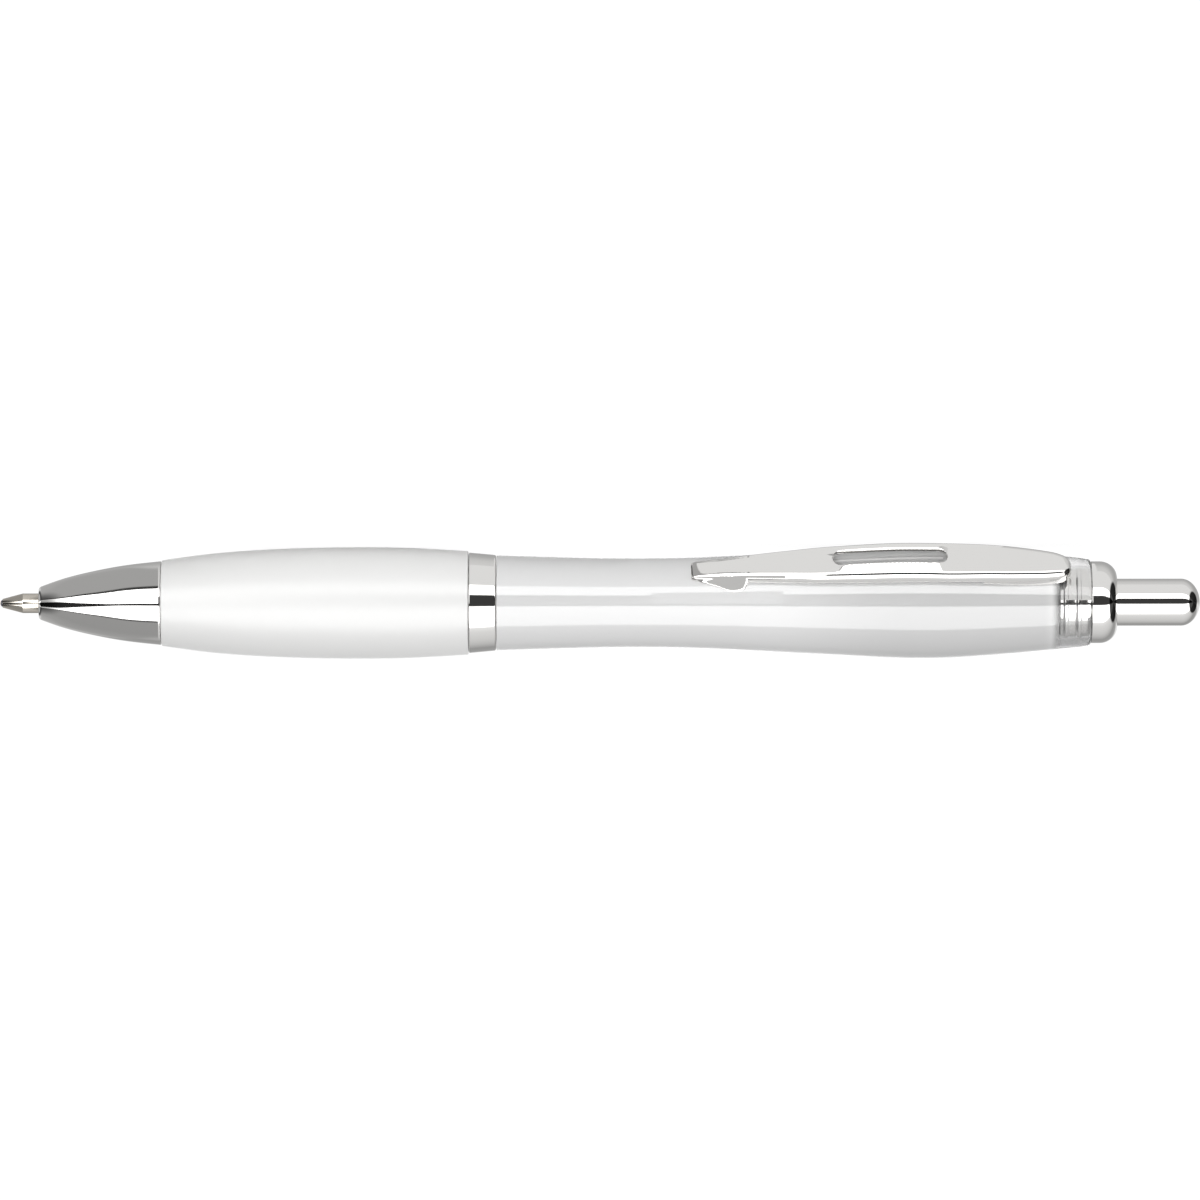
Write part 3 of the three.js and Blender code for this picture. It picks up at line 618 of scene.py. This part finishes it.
# Ink and grease. Black paste fills the tube, and a plug of yellowish grease follows it down. Both
# are wet and smooth, and meet in a shallow bowl.
INK_FRONT, INK_BACK, FOLLOWER_BACK = 14.6, 88.6, 91.6
INK_R = 1.0
BOWL = 0.35
FOLLOWER_GAP = 0.02
ink = finish(
    "ballpoint_ink_black", "#14161B", size=0.8, depth=0.001, roughness=0.25, spread=0.05
)
grease = finish(
    "follower_grease_clear", "#D9C48A", size=0.7, depth=0.004, roughness=0.25, spread=0.08
)
share = np.linspace(0, 1, 9)
profile = [
    (INK_FRONT, 0),
    (INK_FRONT, INK_R),
    (INK_BACK - BOWL, INK_R),
    *np.stack([INK_BACK - BOWL * share**0.5, INK_R * (1 - share)], 1),
]
ink_column = turned_piece("ink_column_black", profile, ink, closed=False, sides=48)
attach(ink_column, "refill")
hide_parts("ink_column")

bulge = (BOWL - FOLLOWER_GAP) * (1 - share) ** 0.5
profile = [
    *np.stack([INK_BACK + FOLLOWER_GAP - bulge, INK_R * share], 1),
    (FOLLOWER_BACK, INK_R),
    (FOLLOWER_BACK - 0.3, 0.0),
]
ink_follower = turned_piece("ink_follower_grease", profile, grease, closed=False, sides=48)
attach(ink_follower, "refill")
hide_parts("ink_follower")

# Rear barrel. Milky translucent styrene, moulded with a polished outside, a plain round bore and
# a slit at the back for the tongue of the clip. It screws on to the front barrel.
BARREL_FRONT, OUTLINE_BACK, BARREL_BACK = 57.95, 126.0, 127.2
THREAD_END = 64.85
BARREL_BORE = 2.75
SLEEVE_SEAT, SLEEVE_BORE = 101.6, 3.93
SPIGOT_SEAT, SPIGOT_BORE = 123.1, 4.23
END_R, END_LENGTH, END_DEPTH = 5.1, 0.7, 0.25
SLIT_FRONT, SLIT_BACK = 119.05, 120.35
SLIT_COLUMNS = 7
BARREL_SIDES = 144
flex = frame["joints"][-1]["axis"]
CLIP_DROOP = math.atan2(flex[1], -flex[2])
CLIP_WAY = math.atan2(-math.sin(CLIP_DROOP), -math.cos(CLIP_DROOP))
barrel_marks = [
    (0, 5.55),
    (0.1, 5.34),
    (0.2, 5.19),
    (0.33, 5.26),
    (0.46, 5.66),
    (0.6, 6.16),
    (0.74, 6.5),
    (0.85, 6.12),
    (1, 5.2),
]


def barrel_r(station):
    """The barrel's outer radius at a station, from the marks along it."""
    fraction = (np.asarray(station, float) - BARREL_FRONT) / (OUTLINE_BACK - BARREL_FRONT)
    return np.minimum(spline(barrel_marks, fraction), BELLY_R)


# Polished milky styrene: hard bright bands of gloss over a white depth, and clear where it thins
# over the collar's spigot. Its colour holds painted shade: a darker grey from the belly back to
# the spigot, where the wall stands off the mechanism, stands in for the dimmer hollow behind the
# wall.
styrene = finish(
    "polystyrene_milky_polished",
    "#F2F2F2",
    size=0.9,
    depth=0.0002,
    roughness=0.05,
    spread=0.02,
    IOR=1.59,
    Specular_IOR_Level=1.0,
    Sheen_Weight=1.0,
    Sheen_Roughness=0.25,
)
tree = styrene.node_tree
where = add(tree, "ShaderNodeTexCoord").outputs["Object"]
place = add(tree, "ShaderNodeSeparateXYZ", {0: where})
ALONG_BARREL = {  # station from and to, number before and after
    "painted_hollow_shade": (88.0, 106.0, 0.0, 1.0),
    "before_spigot": (121.5, 123.4, 1.0, 0.0),
    "clear": (122.4, 123.6, 0.04, 0.98),
}
step = {}
for name, (front_end, back_end, start, stop) in ALONG_BARREL.items():
    limits = {
        "From Min": (PEN_LENGTH / 2 - front_end) * MM,
        "From Max": (PEN_LENGTH / 2 - back_end) * MM,
        "To Min": start,
        "To Max": stop,
    }
    step[name] = add(tree, STEP, {"Value": place, **limits}, interpolation_type="SMOOTHSTEP")
# Painted shade: the base colour goes from #F3F3F3 to the darker #E2E2E2 between stations 88 and
# 106, and back to the lighter one just before the spigot.
grey = add(tree, MATHS, {0: step["painted_hollow_shade"], 1: step["before_spigot"]}, operation="MULTIPLY")
milks_with_painted_shade = {"Factor": grey, 6: colour("#F3F3F3"), 7: colour("#E2E2E2")}
milk_and_painted_shade = add(tree, "ShaderNodeMix", milks_with_painted_shade, data_type="RGBA")
shader = tree.nodes["Principled BSDF"]
tree.links.new(milk_and_painted_shade.outputs[2], shader.inputs["Base Color"])
tree.links.new(step["clear"].outputs[0], shader.inputs["Transmission Weight"])

stations = np.linspace(BARREL_FRONT, OUTLINE_BACK, 221)
outside_slit = stations[(stations < SLIT_FRONT) | (stations > SLIT_BACK)]
stations = np.sort(np.concatenate([outside_slit, [SLIT_FRONT, SLIT_BACK]]))
quarter = np.linspace(0, math.pi / 2, 6)
rounded = [
    BARREL_BACK - END_LENGTH + END_LENGTH * np.sin(quarter),
    END_R - END_DEPTH + END_DEPTH * np.cos(quarter),
]
skin = [*np.stack([stations, barrel_r(stations)], 1), *np.stack(rounded, 1)]
bore = [
    (BARREL_BACK, SPIGOT_BORE),
    (SPIGOT_SEAT, SPIGOT_BORE),
    (SPIGOT_SEAT, SLEEVE_BORE),
    (SLIT_BACK, SLEEVE_BORE),
    (SLIT_FRONT, SLEEVE_BORE),
    (SLEEVE_SEAT, SLEEVE_BORE),
    (SLEEVE_SEAT, BARREL_BORE),
    (THREAD_END + 1, BARREL_BORE),
    (THREAD_END, CORE_BORE_R),
    (BARREL_FRONT, CORE_BORE_R),
]
profile = np.array([*skin, *bore])
grid = lathe(profile, BARREL_SIDES, CLIP_WAY)
n = len(profile)
outer_rows = [int(np.argmin(np.abs(stations - v))) for v in (SLIT_FRONT, SLIT_BACK)]
inner_rows = [len(skin) + 4, len(skin) + 3]
faces = quads_of(n, BARREL_SIDES, True, True).reshape(n, BARREL_SIDES, 4)
columns = np.arange(BARREL_SIDES)
in_slit = (columns < SLIT_COLUMNS) | (columns >= BARREL_SIDES - SLIT_COLUMNS)
keep = np.ones((n, BARREL_SIDES), bool)
keep[outer_rows[0], in_slit] = False
keep[inner_rows[1], in_slit] = False
around = np.arange(-SLIT_COLUMNS, SLIT_COLUMNS + 1) % BARREL_SIDES
slit_walls = []
for outer_row, inner_row in zip(outer_rows, inner_rows):
    a, b = outer_row * BARREL_SIDES + around, inner_row * BARREL_SIDES + around
    slit_walls.append(np.stack([a[:-1], a[1:], b[1:], b[:-1]], 1))
for column in (around[0], around[-1]):
    a = [row * BARREL_SIDES + column for row in outer_rows]
    b = [row * BARREL_SIDES + column for row in inner_rows]
    slit_walls.append(np.array([[a[0], a[1], b[1], b[0]]]))
faces = np.concatenate([faces[keep], *slit_walls])
rear_barrel = piece("rear_barrel_moulded", grid.reshape(-1, 3), faces, styrene)
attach(rear_barrel, "barrel")
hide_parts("rear_barrel")

# Click mechanism. A ribbed guide sleeve, an index cam and a plunger, moulded in white acetal,
# which slides on itself without grease. Their shapes come from the CAD nodes. Acetal looks like
# wax: a dull white with a faint uneven gloss.
acetal = finish(
    "acetal_moulded_white", "#D6D5D2", size=0.5, depth=0.002, roughness=0.38, spread=0.05
)
for name in ("guide_sleeve", "index_cam", "plunger"):
    node = frame["nodes"][name]
    node.data.materials.clear()
    node.data.materials.append(acetal)

# End collar. Turned brass, chrome plated, with a rounded rear edge. Its spigot snaps into the
# barrel by two beads, and guides the push button.
SPIGOT_FRONT = 123.3
SPIGOT_R = 3.98
COLLAR_FRONT, COLLAR_BACK = 127.25, 130.3
COLLAR_R = 4.78
BUTTON_HOLE = 2.83
EDGE_LENGTH, EDGE_DEPTH = 2.0, 1.85
bead = np.array([(0, SPIGOT_R), (0.15, 4.13), (0.45, 4.13), (0.6, SPIGOT_R)])
quarter = np.linspace(0, math.pi / 2, 17)
edge = [
    COLLAR_BACK - EDGE_LENGTH + EDGE_LENGTH * np.sin(quarter),
    COLLAR_R - EDGE_DEPTH + EDGE_DEPTH * np.cos(quarter),
]
profile = [
    (SPIGOT_FRONT, BUTTON_HOLE),
    (SPIGOT_FRONT, SPIGOT_R - 0.2),
    (SPIGOT_FRONT + 0.2, SPIGOT_R),
    *(bead + (123.9, 0)),
    *(bead + (125.4, 0)),
    (COLLAR_FRONT, SPIGOT_R),
    (COLLAR_FRONT, COLLAR_R),
    *np.stack(edge, 1),
    (COLLAR_BACK, BUTTON_HOLE),
]
end_collar = turned_piece("end_collar_plated", eased(profile, 0.1), chrome)
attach(end_collar, "barrel")
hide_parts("end_collar")

# Push button. A cap drawn from brass strip, chrome plated, pressed over the plunger's stem.
BUTTON_FRONT = 124.7
BUTTON_R = 2.75
BUTTON_BORE = 2.1
DOME_LENGTH = 2.2
quarter = np.linspace(0, math.pi / 2, 25)[:-1]
dome = [PEN_LENGTH - DOME_LENGTH + DOME_LENGTH * np.sin(quarter), BUTTON_R * np.cos(quarter)]
profile = [
    (138.5, 0),
    (138.5, BUTTON_BORE - 0.3),
    (138.2, BUTTON_BORE),
    (BUTTON_FRONT, BUTTON_BORE),
    (BUTTON_FRONT, BUTTON_R - 0.15),
    (BUTTON_FRONT + 0.15, BUTTON_R),
    *np.stack(dome, 1),
    (PEN_LENGTH, 0),
]
profile = eased(profile, 0.1, closed=False)
push_button = turned_piece("push_button_drawn", profile, chrome, closed=False)
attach(push_button, "button")
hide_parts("push_button")

# Pocket clip. Spring steel strip, blanked with its slot, folded to a channel with two ears and a
# turned-down front edge, pressed down round the slot, then chrome plated.
CLIP_FRONT = 80.6
CLIP_LENGTH = 44.2
CLIP_HALF = 2.7
STRIP = 0.45
FOLD_R, LEAST_FOLD_R = 0.85, 0.1
CROWN = 0.12
SLOPE, PRESSED_SLOPE = 0.11, 0.5
SLOT_FRONT, SLOT_BACK, SLOT_HALF = 97.0, 110.4, 1.125
EAR = 1.0
LEAN = math.radians(43.0)
CLIP_GAP = 0.1
# Shares of the clip's length, then of its half width, and its height over the barrel in mm
clip_marks = np.array(
    [
        (0, 0.42, 0.5),
        (0.004, 0.47, 0.62),
        (0.015, 0.51, 0.74),
        (0.06, 0.57, 0.95),
        (0.14, 0.67, 1.21),
        (0.25, 0.81, 1.38),
        (0.36, 0.93, 1.48),
        (0.525, 0.995, 1.53),
        (0.66, 1, 1.45),
        (0.81, 0.93, 1.67),
        (0.905, 0.81, 1.7),
        (0.952, 0.71, 1.7),
        (0.977, 0.6, 1.62),
        (0.993, 0.41, 1.36),
        (1, 0.18, 1.0),
    ]
).T
EARS_FRONT, EARS_BACK = 0.015, 0.152
ear_marks = np.array([(EARS_FRONT, 0), (0.06, 0.45), (0.11, 1), (0.135, 0.8), (EARS_BACK, 0)]).T
# How far the flange's edge stays off the barrel, in mm
foot_marks = np.array(
    [
        (0, 0),
        (0.14, 0),
        (0.152, 0.23),
        (0.25, 0.42),
        (0.36, 0.65),
        (0.62, 0.56),
        (0.7665, 0.74),
        (0.7695, 0.38),
        (0.81, 0.36),
        (0.905, 0.0),
        (1, 0.0),
    ]
).T


def flowing(places, values, x):
    """A monotone cubic through marks: the slope at a mark is the harmonic mean of the slopes on
    both sides, or 0 where they differ in sign, so that the curve never swings past a mark."""
    h, d = np.diff(places), np.diff(values) / np.diff(places)
    same = d[:-1] * d[1:] > 0
    inner = np.where(same, 2 * d[:-1] * d[1:] / np.where(same, d[:-1] + d[1:], 1), 0)
    m = np.concatenate([[d[0]], inner, [d[-1]]])
    i = np.clip(np.searchsorted(places, x) - 1, 0, len(places) - 2)
    t = (np.asarray(x) - places[i]) / h[i]
    return (
        (2 * t**3 - 3 * t**2 + 1) * values[i]
        + (t**3 - 2 * t**2 + t) * h[i] * m[i]
        + (3 * t**2 - 2 * t**3) * values[i + 1]
        + (t**3 - t**2) * h[i] * m[i + 1]
    )


# Rows stand closer where the outline turns fast, and at the slot's round ends. Each span has its
# ends, as shares of the length, and its number of rows.
round_end = (1 - np.cos(np.linspace(0, math.pi, 17))) * SLOT_HALF
spans = [
    (0, 0.02, 9),
    (0.02, 0.16, 57),
    (0.16, 0.76, 110),
    (0.76, 0.78, 14),
    (0.78, 0.95, 40),
    (0.95, 1, 40),
]
share = np.concatenate(
    [np.linspace(*span) for span in spans]
    + [(SLOT_FRONT + round_end - CLIP_FRONT) / CLIP_LENGTH]
    + [(SLOT_BACK - round_end - CLIP_FRONT) / CLIP_LENGTH]
)
share = np.unique(share.round(6))
stations = CLIP_FRONT + share * CLIP_LENGTH
half = CLIP_HALF * flowing(clip_marks[0], clip_marks[1], share)
tall = flowing(clip_marks[0], clip_marks[2], share)
flare = EAR * flowing(*ear_marks, np.clip(share, EARS_FRONT, EARS_BACK))
under = barrel_r(stations)
foot = np.sqrt(under**2 - (half + flare) ** 2) + np.interp(share, *foot_marks)
foot = np.maximum(foot, np.sqrt((under + CLIP_GAP) ** 2 - (half + flare) ** 2))
top = under + tall
fold = np.minimum(FOLD_R, np.minimum(0.6 * (top - foot), 0.5 * half))
fold = np.maximum(LEAST_FOLD_R, fold)
slot_centre = np.clip(stations, SLOT_FRONT + SLOT_HALF, SLOT_BACK - SLOT_HALF)
slot = np.sqrt(np.clip(SLOT_HALF**2 - (stations - slot_centre) ** 2, 0, None))

# The top slopes away from its crown line, and more where it is pressed, which eases in over 5 mm
# in front of the slot and 2 mm behind it.
before_slot = (SLOT_FRONT + 2.4 - stations) / 5
behind_slot = (stations - SLOT_BACK + 1.4) / 2
off_slot = np.where(stations < (SLOT_FRONT + SLOT_BACK) / 2, before_slot, behind_slot)
pressed = np.clip(1 - off_slot, 0, 1)
pressed = pressed**2 * (3 - 2 * pressed)
slope = SLOPE + (PRESSED_SLOPE - SLOPE) * pressed
power = (2 - 0.85 * pressed)[:, None]
tilt = np.arctan(slope)

# Half of the cross section, from the flange's foot up: the flange is a curve that leaves the fold
# without a kink, the fold an arc, and the top runs in to the slot or to the crown line.
FLANGE, ROUND, TOP = 14, 12, 14
shoulder = (top - CROWN - fold)[:, None]
flare = np.maximum(flare, 1e-4)[:, None]
lean = LEAN * flare / EAR
q = np.linspace(0, 1, FLANGE + 1)[None, :-1]
start_y, start_z = half[:, None] + flare, foot[:, None]
stop_y = (half - fold)[:, None] + fold[:, None] * np.cos(lean)
stop_z = shoulder + fold[:, None] * np.sin(lean)
bend_z = stop_z - (start_y - stop_y) / np.tan(lean)
bend_z = np.maximum(bend_z, start_z + 0.1 * (stop_z - start_z))
flange_y = ((1 - q) ** 2 + 2 * q * (1 - q)) * start_y + q**2 * stop_y
flange_z = (1 - q) ** 2 * start_z + 2 * q * (1 - q) * bend_z + q**2 * stop_z
q = np.linspace(0, 1, ROUND + 1)[None, :-1]
a = lean * (1 - q) + q * (math.pi / 2 - tilt)[:, None]
fold_y = (half - fold)[:, None] + fold[:, None] * np.cos(a)
fold_z = shoulder + fold[:, None] * np.sin(a)
edge = (half - fold + fold * np.sin(tilt))[:, None]
q = np.linspace(0, 1, TOP + 1)[None]
top_y = edge * (1 - q) + np.minimum(slot[:, None], edge) * q
crown = slope[:, None] * edge / power * (1 - (top_y / edge) ** power)
top_z = shoulder + (fold * np.cos(tilt))[:, None] + crown
y = np.concatenate([flange_y, fold_y, top_y], 1)
z = np.concatenate([flange_z, fold_z, top_z], 1)
x = np.repeat(stations[:, None], y.shape[1], 1)


def on_clip(x, y, z):
    """Points of the pen from a station x, a distance y across the clip and a height z over the
    axis, for a clip that droops by d: (length/2 - x, -y sin d - z cos d, y cos d - z sin d)."""
    ahead = PEN_LENGTH / 2 - x
    c, n = math.cos(CLIP_DROOP), math.sin(CLIP_DROOP)
    return np.stack([ahead, -n * y - c * z, c * y - n * z], -1) * MM + np.array(AXIS)


# Both halves, and the front and rear edges turned down from the fold and the top to the foot
columns = np.arange(FLANGE, y.shape[1])
drop = np.linspace(1, 0, FLANGE + 1)[:, None]
points, faces, count = [], [], 0
for mirror in (1, -1):
    grids = [on_clip(x, mirror * y, z)]
    for end in (0, -1):
        edge_y, edge_z = mirror * y[end, columns], z[end, columns]
        down = foot[end] + (edge_z - foot[end]) * drop
        grids.append(on_clip(stations[end] + 0 * down, edge_y + 0 * down, down))
    for grid in grids:
        points.append(grid.reshape(-1, 3))
        faces.append(quads_of(*grid.shape[:2]) + count)
        count += grid.shape[0] * grid.shape[1]
points, faces = np.concatenate(points), np.concatenate(faces)
pocket_clip = piece("pocket_clip_folded", points, faces, chrome, 40)
work = bmesh.new()
work.from_mesh(pocket_clip.data)
bmesh.ops.recalc_face_normals(work, faces=work.faces)
farthest = max(work.faces, key=lambda face: (face.calc_center_median() - AXIS).length)
if farthest.normal.dot(farthest.calc_center_median() - AXIS) < 0:
    bmesh.ops.reverse_faces(work, faces=work.faces)
work.to_mesh(pocket_clip.data)
work.free()
wall = pocket_clip.modifiers.new("strip", "SOLIDIFY")
wall.thickness = STRIP * MM
wall.offset = -1
wall.solidify_mode = "NON_MANIFOLD"
wall.nonmanifold_thickness_mode = "FIXED"
soft = pocket_clip.modifiers.new("tumbled_edges", "BEVEL")
soft.width = 0.07 * MM
soft.segments = 2
soft.limit_method = "ANGLE"
soft.angle_limit = math.radians(50)
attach(pocket_clip, "clip")
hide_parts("pocket_clip")

# Clip tongue. A strip cut from the clip's blank, folded in through the barrel's slit and hooked
# forward behind its wall, which holds the clip.
TONGUE_HALF = 1.1
outline = [
    (119.45, 6.9),
    (119.9, 6.9),
    (119.9, 3.51),
    (121.6, 3.51),
    (121.6, 3.06),
    (119.45, 3.06),
]
outline = eased(outline, 0.08, 3)
elbow = np.array([119.65, 3.25])
across = np.array([-TONGUE_HALF, -TONGUE_HALF, TONGUE_HALF, TONGUE_HALF])
shrink = np.array([0, 1, 1, 0])[None, :, None]
section = elbow + shrink * (outline[:, None] - elbow)
grid = on_clip(section[..., 0], across[None] + 0 * section[..., 0], section[..., 1])
faces = quads_of(len(outline), len(across), True, False)
tongue = piece("clip_tongue_folded", grid.reshape(-1, 3), faces, chrome)
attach(tongue, "clip")
